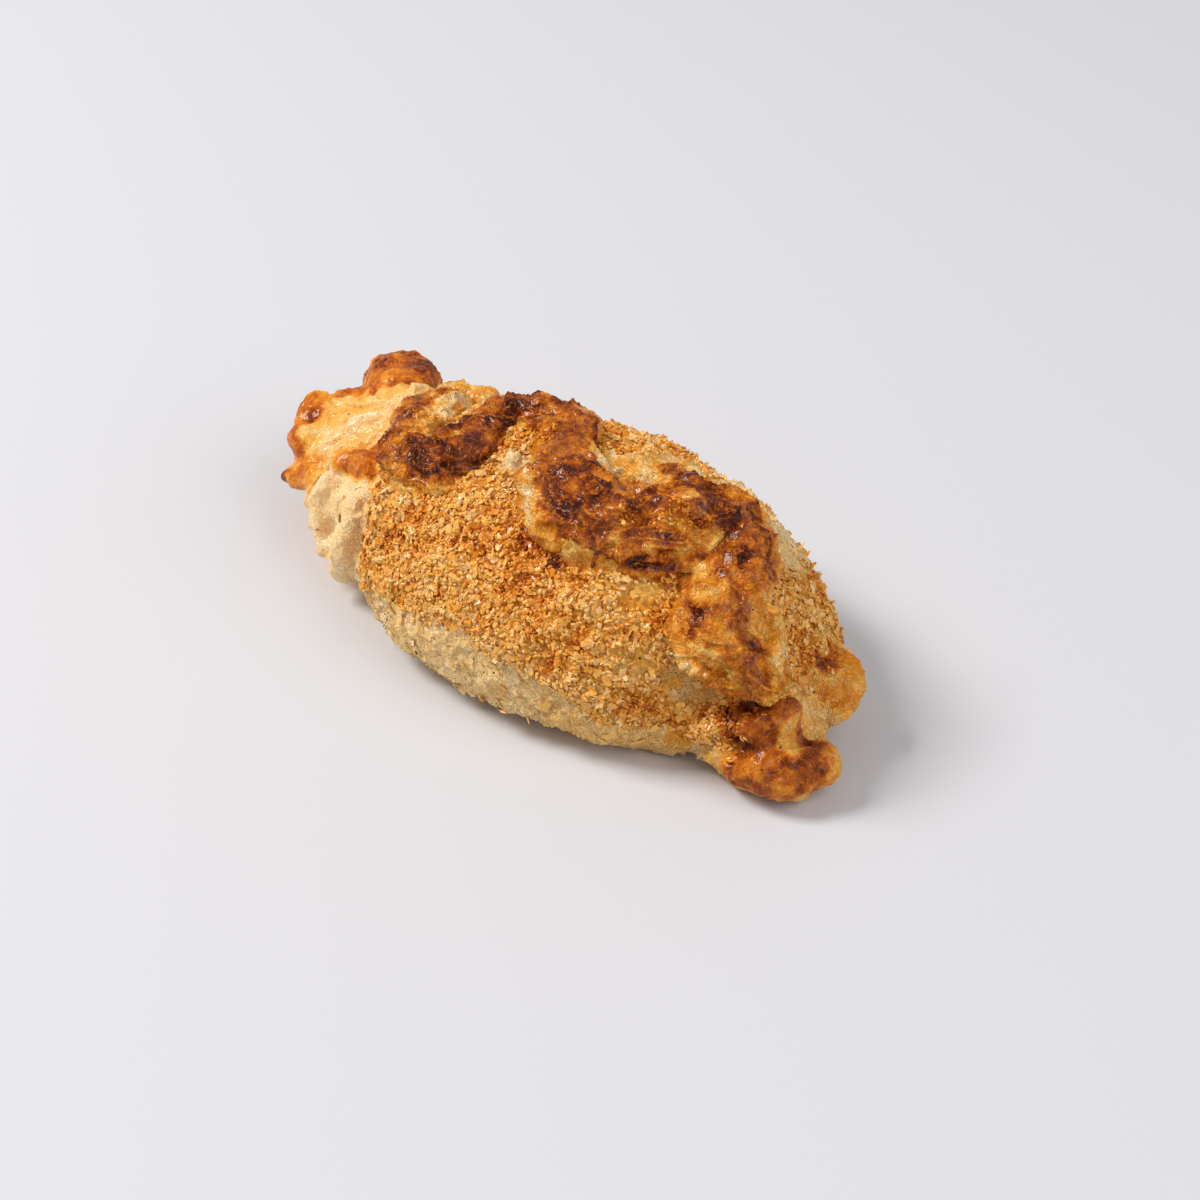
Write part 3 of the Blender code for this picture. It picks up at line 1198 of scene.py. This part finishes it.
    SPOTS = (
        Spot("pocket", (-42, -2, 50), 7, 0.12),
        Spot("pocket in front", (-38, -11, 50), 5, 0.14),
        Spot("bits in the pocket", (-41, -10, 51), 2.5, 0.50),
        Spot("curl", (-49, -6, 51), 5, 0.70),
        Spot("face of the hood", (-21, -24, 52), 8, 0.86),
        Spot("upper face of the hood", (-19, -12, 56), 7, 0.82),
        Spot("left of the hood's face", (-34, -27, 50), 6, 0.58),
        Spot("crease of the hood", (-26, -30, 47), 4, 0.84),
        Spot("foot of the hood", (-15, -25, 47), 5, 0.44),
        Spot("left of the arch", (-24, 1, 56), 7, 0.76),
        Spot("arch", (-13, 7, 57), 9, 0.54),
        Spot("right of the arch", (4, 6, 58), 6, 0.62),
        Spot("pale flap", (16, 10, 56), 10, 0.26),
        Spot("left of the pale flap", (8, 6, 56), 4, 0.44),
        Spot("start of the big fold", (11, -15, 61), 6, 0.74),
        Spot("top of the big fold", (24, -19, 61), 8, 0.76),
        Spot("front of the big fold", (34, -25, 54), 9, 0.70),
        Spot("low front", (42, -22, 50), 8, 0.70),
        Spot("char on the lip", (46, -18, 49), 3, 0.93),
        Spot("far top", (45, -2, 60), 9, 0.44),
        Spot("back top", (40, -8, 61), 4, 0.74),
        Spot("back right", (51, -1, 58), 5, 0.72),
        Spot("bend", (54, 8, 54), 7, 0.80),
        Spot("side of the bend", (68, 0, 48), 7, 0.80),
        Spot("upper part of the last fold", (63, -13, 48), 8, 0.48),
        Spot("under the hollow", (55, -7, 46), 5, 0.28),
        Spot("left of the last fold", (65, -24, 41), 5.5, 0.72),
        Spot("ridge", (80, -17, 38), 4, 0.64),
        Spot("burnt edge", (83, -16, 34), 3, 0.82),
        Spot("tip", (85, -16, 30), 5, 0.66),
        Spot("foot of the last fold", (80, -19, 30), 4, 0.56),
        Spot("right flap", (78, -6, 40), 6, 0.33),
        Spot("front of the last fold", (73, -25, 35), 6, 0.42),
        Spot("hollow", (47, -6, 59), 5, 0.52),
        Spot("beside the hollow", (53, -1, 56), 4, 0.54),
    )

    CRUMBS = (
        Spot("in the pocket", (-40, -9, 51), 2.0),
        Spot("in the hollow", (47, -6, 59), 6.0),
        Spot("beside the hollow", (53, -1, 56), 4.0),
        Spot("on the far ridge", (58, 9, 52), 2.5),
        Spot("on the big fold", (40, -15, 60), 3.0),
        Spot("between arch and big fold", (-2, 0, 57), 4.0),
    )

    def __post_init__(self) -> None:
        """Works out the route's points, radii, directions and lengths once."""
        places = np.linspace(0, len(self.ROUTE) - 1, 12 * len(self.ROUTE))
        rows = np.array([eased(self.ROUTE, place) for place in places])
        self.middles = rows[:, :3]
        self.radii = rows[:, 3]
        ahead = np.gradient(self.middles, axis=0)
        self.ahead = ahead / np.linalg.norm(ahead, axis=1, keepdims=True)
        steps = np.linalg.norm(np.diff(self.middles, axis=0), axis=1)
        self.lengths = np.concatenate([[0.0], np.cumsum(steps)])

    def coordinates(self, points: Array) -> tuple[Array, Array, Array]:
        """Where points lie in terms of the roll.

        Args:
            points: places in millimetres.

        Returns:
            Distance from the roll's middle as a share of its radius, length along it in millimetres, and the
            angle round it in radians, 0 on top and positive towards its left side.
        """
        nearest = np.empty(len(points), dtype=np.int64)
        for start in range(0, len(points), MOST_AT_ONCE):
            part = points[start:start + MOST_AT_ONCE]
            reach = np.linalg.norm(part[:, None, :] - self.middles[None], axis=2) / self.radii[None]
            nearest[start:start + MOST_AT_ONCE] = reach.argmin(axis=1)
        offset = points - self.middles[nearest]
        ahead = self.ahead[nearest]
        along = np.einsum("ij,ij->i", offset, ahead)
        left = np.stack([-ahead[:, 1], ahead[:, 0], np.zeros(len(points))], axis=1)
        side = np.einsum("ij,ij->i", offset, left)
        up = offset[:, 2]
        reach = np.linalg.norm(offset, axis=1) / self.radii[nearest]
        return reach, self.lengths[nearest] + along, np.arctan2(side, up)

    def build(self) -> Skin:
        """Makes the crimp.

        Returns:
            The crimp's skin.
        """
        chains = (self.ROUTE, *(fold.chain for fold in self.FOLDS))
        rolls = rolled_dough("crimp_form", chains, self.flatness, self.per_step)
        skin = Skin.of(fine_skin(rolls, "crimp", self.voxel, self.smoothing))
        lumps = self.lump_height * layered_noise(skin.points, self.lump_size, 111, 2)
        skin.push(lumps - creased(skin.points, self.CREASES))
        _, along, angle = self.coordinates(skin.points)
        relief, strands = self.relief(skin.points, along, angle)
        skin.push(relief)
        skin.paint("bake", self.bake(skin, angle, relief, strands))
        skin.paint("gloss", np.clip(0.6 + 0.6 * layered_noise(skin.points, 6.0, 151, 2), 0.05, 1.0))
        skin.paint("wrinkled", np.ones(len(skin.points)))
        return Skin.of(thinned(skin.piece, self.most_triangles))

    def relief(self, points: Array, along: Array, angle: Array) -> tuple[Array, Array]:
        """Blisters in patches on the top, and thin strands that run along the sides.

        Args:
            points: places in millimetres.
            along: how far along the roll they lie.
            angle: how far round it.

        Returns:
            The whole relief in millimetres, and the strands' share of it in about -1..1.
        """
        near, value = pebbles(points, self.blister_size, 121)
        small, _ = pebbles(points, self.blister_size * 0.45, 127)
        patches = np.clip(0.7 + 1.2 * soft_noise(points, 11.0, 129), 0.2, 1.5)
        blisters = self.blister_height * patches * ((0.55 - near) * (0.4 + value) + 0.4 * (0.5 - small))
        wrinkle = 0.5 * crests(points, 4.5, 131) + 0.3 * crests(points, 2.3, 133) - 0.2
        round_it = angle * 9.0 + 2.0 * layered_noise(points, 9.0, 135, 2)
        laid = np.stack([along * 0.22, round_it, np.full(len(points), 3.0)], axis=1) / self.strand_gap
        strands = crests(laid, 1.3, 137, 4.0) - 0.3
        rucks = crests(points, self.ruck_size, 139, 2.6)
        side = smooth_step(0.55, 1.2, np.abs(angle))
        height = self.strand_height * (0.35 + 0.65 * side)
        fine = blisters * (1 - 0.6 * side) + wrinkle + strands * height
        return fine + self.ruck_height * (rucks - 0.3), strands * (0.3 + 0.7 * side)

    def bake(self, skin: Skin, angle: Array, relief: Array, strands: Array) -> Array:
        """How far each point is baked: brown on top, tan down the sides, darker where it stands proud.

        Args:
            skin: the crimp's skin.
            angle: how far round the roll each point lies.
            relief: its fine relief, in millimetres.
            strands: its strands, in about -1..1.

        Returns:
            The bake of each point.
        """
        top = smooth_step(1.6, 0.8, np.abs(angle))
        bake = Bake.GOLD - 0.04 + (Bake.BROWN - Bake.GOLD) * top
        bake = browned(bake, skin.points, self.SPOTS, 145)
        bake = folded(bake, skin.points, self.FOLDS, 143)
        bake = bake + 0.2 * layered_noise(skin.points, 4.5, 141, 4) - 0.22 * strands
        return np.clip(bake + 0.06 * relief, 0.1, 0.9)

    def crumb_zone(self, points: Array) -> Array:
        """Where crumbs lie in the crimp's hollows."""
        return patched(points, self.CRUMBS, 1.1, 0.8, 0.3 * soft_noise(points, 3.0, 161))


# ---------------------------------------------------------------- loose bits


@dataclass
class Ground:
    """The surfaces that loose bits lie on, as triangles with their bake."""

    corners: Array
    normals: Array
    bake: Array
    weight: Array

    @classmethod
    def of(cls, skins: list[Skin], weights: list[Array]) -> "Ground":
        """Joins skins into one ground.

        Args:
            skins: the surfaces.
            weights: how thickly bits lie at each skin's points.

        Returns:
            The ground.
        """
        parts = []
        for skin, weight in zip(skins, weights):
            rows = skin.triangles()
            rows = rows[weight[rows].mean(axis=1) > LEAST_WEIGHT]
            values = np.empty(len(skin.points), dtype=np.float32)
            skin.piece.data.attributes["bake"].data.foreach_get("value", values)
            spots = skin.points[rows]
            cross = np.cross(spots[:, 1] - spots[:, 0], spots[:, 2] - spots[:, 0])
            area = np.linalg.norm(cross, axis=1) / 2
            parts.append((spots, skin.normals[rows].mean(axis=1), values[rows].mean(axis=1),
                          area * weight[rows].mean(axis=1)))
        return cls(*[np.concatenate(column) for column in zip(*parts)])

    def pick(self, count: int, dice: np.random.Generator) -> tuple[Array, Array, Array]:
        """Random places, thicker where the weight is higher.

        Args:
            count: how many.
            dice: the source of randomness.

        Returns:
            Their places, normals and bakes.
        """
        rows = dice.choice(len(self.weight), size=count, p=self.weight / self.weight.sum())
        share = dice.dirichlet((1.0, 1.0, 1.0), size=count)
        places = np.einsum("ij,ijk->ik", share, self.corners[rows])
        normals = self.normals[rows]
        normals = normals / np.linalg.norm(normals, axis=1, keepdims=True)
        return places, normals, self.bake[rows]


class BitShape(Enum):
    """What one loose bit looks like."""

    GRAIN = "grain"
    FLAKE = "flake"


@dataclass
class Bits:
    """Many small bits of one kind, joined in one mesh.

    Length, width and thickness are in millimetres, each from smallest to largest. Tilt is in degrees and lift
    is a share of the thickness. The bake is the ground's own, but at least least_bake, plus a shift.
    """

    name: str
    shape: BitShape
    count: int
    length: tuple[float, float]
    width: tuple[float, float]
    thickness: tuple[float, float]
    tilt: float
    lift: float
    bake_shift: tuple[float, float]
    gloss: float
    seed: int
    least_bake: float = 0.0

    # A grain's points lie this much nearer or further out, and a flake's edge is this much thinner.
    UNEVENNESS = (0.65, 1.3)
    EDGE_THINNING = 0.8
    CURL = (-1.8, 1.0)
    JITTER = 0.2
    SHARP_ANGLE = math.radians(45)
    LOWEST = 0.02

    def pattern(self) -> tuple[Array, list[list[int]]]:
        """One bit of unit size, as points and faces.

        Returns:
            Its points and its faces.
        """
        mesh = bmesh.new()
        if self.shape is BitShape.GRAIN:
            bmesh.ops.create_icosphere(mesh, subdivisions=1, radius=1.0)
        else:
            bmesh.ops.create_grid(mesh, x_segments=4, y_segments=2, size=1.0)
            bmesh.ops.solidify(mesh, geom=mesh.faces[:], thickness=1.0)
        bmesh.ops.recalc_face_normals(mesh, faces=mesh.faces[:])
        mesh.verts.index_update()
        points = np.array([vertex.co[:] for vertex in mesh.verts])
        # Sorted, because solidify gives the same faces in another order each time.
        faces = sorted([vertex.index for vertex in face.verts] for face in mesh.faces)
        mesh.free()
        return points, faces

    def build(self, ground: Ground) -> bpy.types.Object:
        """Scatters the bits over the ground.

        Args:
            ground: what they lie on.

        Returns:
            The joined bits.
        """
        dice = np.random.default_rng(self.seed)
        points, faces = self.pattern()
        places, normals, bakes = ground.pick(self.count, dice)
        spans = (self.length, self.width, self.thickness)
        size = np.stack([dice.uniform(*span, self.count) for span in spans], axis=1)
        shaped = self.shaped(points, size, dice)
        turned = self.turned(shaped, normals, dice)
        lifted = places + normals * (size[:, 2:] * self.lift)
        spots = (lifted[:, None, :] + turned).reshape(-1, 3)
        spots[:, 2] = np.maximum(spots[:, 2], self.LOWEST)
        step = np.arange(self.count)[:, None, None] * len(points)
        rows = (np.array(faces)[None] + step).reshape(-1, len(faces[0])).tolist()
        mesh = bpy.data.meshes.new(self.name)
        mesh.from_pydata((spots * MM).tolist(), [], rows)
        mesh.update()
        piece = added(self.name, mesh)
        bake = np.maximum(bakes, self.least_bake) + dice.uniform(*self.bake_shift, self.count)
        skin = Skin.of(piece)
        skin.paint("bake", np.repeat(np.clip(bake, 0.0, 1.0), len(points)))
        skin.paint("gloss", np.full(len(spots), self.gloss))
        skin.paint("wrinkled", np.ones(len(spots)))
        mesh.shade_smooth()
        if self.shape is BitShape.FLAKE:
            mesh.set_sharp_from_angle(angle=self.SHARP_ANGLE)
        return piece

    def shaped(self, points: Array, size: Array, dice: np.random.Generator) -> Array:
        """Shapes the bits, each uneven and at its own size.

        Args:
            points: the pattern's points.
            size: the length, width and thickness of each bit.
            dice: the source of randomness.

        Returns:
            Each bit's own points.
        """
        rough = np.repeat(points[None], self.count, axis=0)
        if self.shape is BitShape.GRAIN:
            rough = rough * dice.uniform(*self.UNEVENNESS, (self.count, len(points), 1))
        else:
            edge = np.maximum(np.abs(points[:, 0]), np.abs(points[:, 1]))
            rough[:, :, 2] *= 1.0 - self.EDGE_THINNING * edge**2
            jitter = dice.normal(0.0, self.JITTER, (self.count, len(points) // 2, 3)) * (1, 1, 0.4)
            rough = rough + np.concatenate([jitter, jitter], axis=1)
            curl = dice.uniform(*self.CURL, (self.count, 1))
            rough[:, :, 2] += curl * rough[:, :, 0] ** 2 + 0.8 * np.abs(curl) * np.maximum(rough[:, :, 1], 0)
        return rough * (size / 2)[:, None, :]

    def turned(self, shaped: Array, normals: Array, dice: np.random.Generator) -> Array:
        """Turns the bits to lie on their surface, each tipped a little.

        Args:
            shaped: each bit's points.
            normals: the surface's normal under each bit.
            dice: the source of randomness.

        Returns:
            Each bit's turned points.
        """
        lean = normals + dice.normal(0.0, math.sin(math.radians(self.tilt)), normals.shape)
        up = lean / np.linalg.norm(lean, axis=1, keepdims=True)
        random = dice.normal(size=normals.shape)
        first = np.cross(up, random)
        first = first / np.linalg.norm(first, axis=1, keepdims=True)
        second = np.cross(up, first)
        basis = np.stack([first, second, up], axis=1)
        return np.einsum("nvi,nij->nvj", shaped, basis)


# ---------------------------------------------------------------- the studio


@dataclass
class Studio:
    """A pale floor, soft lights and the camera. Places in metres, in the solid's frame."""

    camera_place: tuple[float, float, float] = (0.45428, -0.44005, 0.4491)
    camera_aim: tuple[float, float, float] = (0.01728, -0.00305, 0.0164)
    lens: float = 85.0
    sensor: float = 36.0
    nearest: float = 0.01
    sky: float = 0.39
    floor_size: float = 4.0
    floor_roughness: float = 0.6

    SKY_COLOUR = linear(246, 246, 250)
    FLOOR_COLOUR = linear(212, 211, 213)

    def build(self) -> None:
        """Sets the stage."""
        self.add_camera()
        self.add_floor()
        self.add_light("key", place=(-1.25, -0.78, 1.62), size=0.8, power=42.0, colour=(1.0, 0.99, 0.975))
        self.add_light("fill", place=(1.40, 0.20, 1.20), size=1.6, power=15.0, colour=(0.97, 0.98, 1.0))
        world = bpy.data.worlds.new("soft sky")
        world.use_nodes = True
        background = world.node_tree.nodes["Background"].inputs
        background["Color"].default_value = self.SKY_COLOUR
        background["Strength"].default_value = self.sky
        bpy.context.scene.world = world
        bpy.context.scene.view_settings.view_transform = "Standard"

    def add_camera(self) -> None:
        """Adds the camera and makes it the scene's own."""
        lens = bpy.data.cameras.new("camera")
        lens.lens = self.lens
        lens.sensor_width = self.sensor
        lens.clip_start = self.nearest
        camera = added("camera", lens)
        camera.location = self.camera_place
        aim = Vector(self.camera_aim) - camera.location
        camera.rotation_euler = aim.to_track_quat("-Z", "Y").to_euler()
        bpy.context.scene.camera = camera

    def add_floor(self) -> None:
        """Adds a wide pale floor under the object."""
        mesh = bpy.data.meshes.new("floor")
        shape = bmesh.new()
        bmesh.ops.create_grid(shape, x_segments=1, y_segments=1, size=self.floor_size)
        shape.to_mesh(mesh)
        shape.free()
        material = bpy.data.materials.new("pale floor")
        material.use_nodes = True
        shader = material.node_tree.nodes["Principled BSDF"].inputs
        shader["Base Color"].default_value = self.FLOOR_COLOUR
        shader["Roughness"].default_value = self.floor_roughness
        mesh.materials.append(material)
        floor = added("floor", mesh)

    def add_light(self, name: str, place: tuple[float, float, float], size: float, power: float,
                  colour: tuple[float, float, float]) -> None:
        """Adds a square soft light that faces the object.

        Args:
            name: the light's name.
            place: where it hangs.
            size: its side.
            power: its power in watts.
            colour: its colour.
        """
        light = bpy.data.lights.new(name, "AREA")
        light.shape = "SQUARE"
        light.size = size
        light.energy = power
        light.color = colour
        lamp = added(name, light)
        lamp.location = place
        lamp.rotation_euler = (-Vector(place)).to_track_quat("-Z", "Y").to_euler()


# ---------------------------------------------------------------- putting it together


def dress(piece: bpy.types.Object, finish: BakedFinish, stands_for_node: bool) -> None:
    """Gives a piece its finish and its place in the model.

    Args:
        piece: the piece.
        finish: its finish.
        stands_for_node: whether it stands for the solid.
    """
    piece.data.materials.clear()
    piece.data.materials.append(finish.material())
    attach(piece, BODY)
    if stands_for_node:
        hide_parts(NODE)
    log.info("%s: %d faces", piece.name, len(piece.data.polygons))


CRIMP_FINISH = BakedFinish(
    "glazed crimp", blotch=0.06, mottle=0.1, wrinkle_size=3.4, relief=0.45, blister_size=1.1, blister=0.8,
    dull=0.6, coat_roughness=0.12, glaze=0.5, crest_pallor_and_sheen=0.55)
CRUST_FINISH = BakedFinish(
    "crust", wrinkle_size=3.2, relief=0.4, crest_pallor_and_sheen=0.45, coat_roughness=0.13, glaze=0.55, glow=0.16)

GOLDEN_CRUMBS = Bits(
    "golden_crumbs", BitShape.GRAIN, count=7000, length=(0.8, 2.4), width=(0.6, 1.4), thickness=(0.5, 1.0),
    tilt=25, lift=0.2, bake_shift=(-0.22, 0.03), gloss=0.8, seed=5, least_bake=0.38)
PALE_FLAKES = Bits(
    "pale_flakes", BitShape.FLAKE, count=200, length=(1.8, 4.5), width=(1.0, 2.2), thickness=(0.25, 0.4),
    tilt=16, lift=0.4, bake_shift=(-0.04, 0.08), gloss=0.12, seed=6)
GOLD_FLAKES = Bits(
    "gold_flakes", BitShape.FLAKE, count=2200, length=(1.1, 2.8), width=(0.8, 1.6), thickness=(0.3, 0.5),
    tilt=28, lift=0.9, bake_shift=(-0.24, 0.0), gloss=0.8, seed=7, least_bake=0.4)
CHARRED_SPECKS = Bits(
    "charred_specks", BitShape.GRAIN, count=130, length=(0.4, 1.0), width=(0.3, 0.7), thickness=(0.3, 0.5),
    tilt=15, lift=0.2, bake_shift=(0.5, 0.7), gloss=0.2, seed=8)


def scatter(crust: Crust, crust_skin: Skin, crimp: Crimp, crimp_skin: Skin) -> None:
    """Lays the loose bits on the crust and in the crimp's hollows.

    Args:
        crust: the crust.
        crust_skin: its finished skin.
        crimp: the crimp.
        crimp_skin: its finished skin.
    """
    points = crust_skin.points
    reach, _, _ = crimp.coordinates(points)
    bare = smooth_step(1.02, 1.12, reach) * smooth_step(1.0, 4.0, points[:, 2])
    crumbs = bare * crust.crumb_zone(points)
    thicker_in_front = 1.0 - 0.55 * smooth_step(14.0, 26.0, points[:, 1])
    flaky = bare * (1 - crust.crumb_zone(points)) * (1 - crust.end_zone(points))
    both = [crust_skin, crimp_skin]
    grounds = (
        (GOLDEN_CRUMBS, Ground.of(both, [crumbs * thicker_in_front, crimp.crumb_zone(crimp_skin.points)])),
        (PALE_FLAKES, Ground.of([crust_skin], [flaky])),
        (GOLD_FLAKES, Ground.of([crust_skin], [crumbs])),
        (CHARRED_SPECKS, Ground.of(both, [bare, np.full(len(crimp_skin.points), 0.8)])),
    )
    for bits, ground in grounds:
        finish = BakedFinish(bits.name, blotch=0.03, mottle=0.04, relief=0.12, coat_roughness=0.12, glaze=0.6,
                             crest_pallor_and_sheen=0.0)
        dress(bits.build(ground), finish, False)


def main() -> None:
    """Builds the pasty and its studio."""
    logging.basicConfig(level=logging.INFO, format="%(name)s: %(message)s")
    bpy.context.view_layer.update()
    baked_colour_group()
    pastry_grain_group()
    Studio().build()
    crimp = Crimp()
    crimp_skin = crimp.build()
    dress(crimp_skin.piece, CRIMP_FINISH, True)
    crust = Crust()
    crust_skin = crust.build(crimp)
    dress(crust_skin.piece, CRUST_FINISH, True)
    scatter(crust, crust_skin, crimp, crimp_skin)


if __name__ == "__main__":
    main()
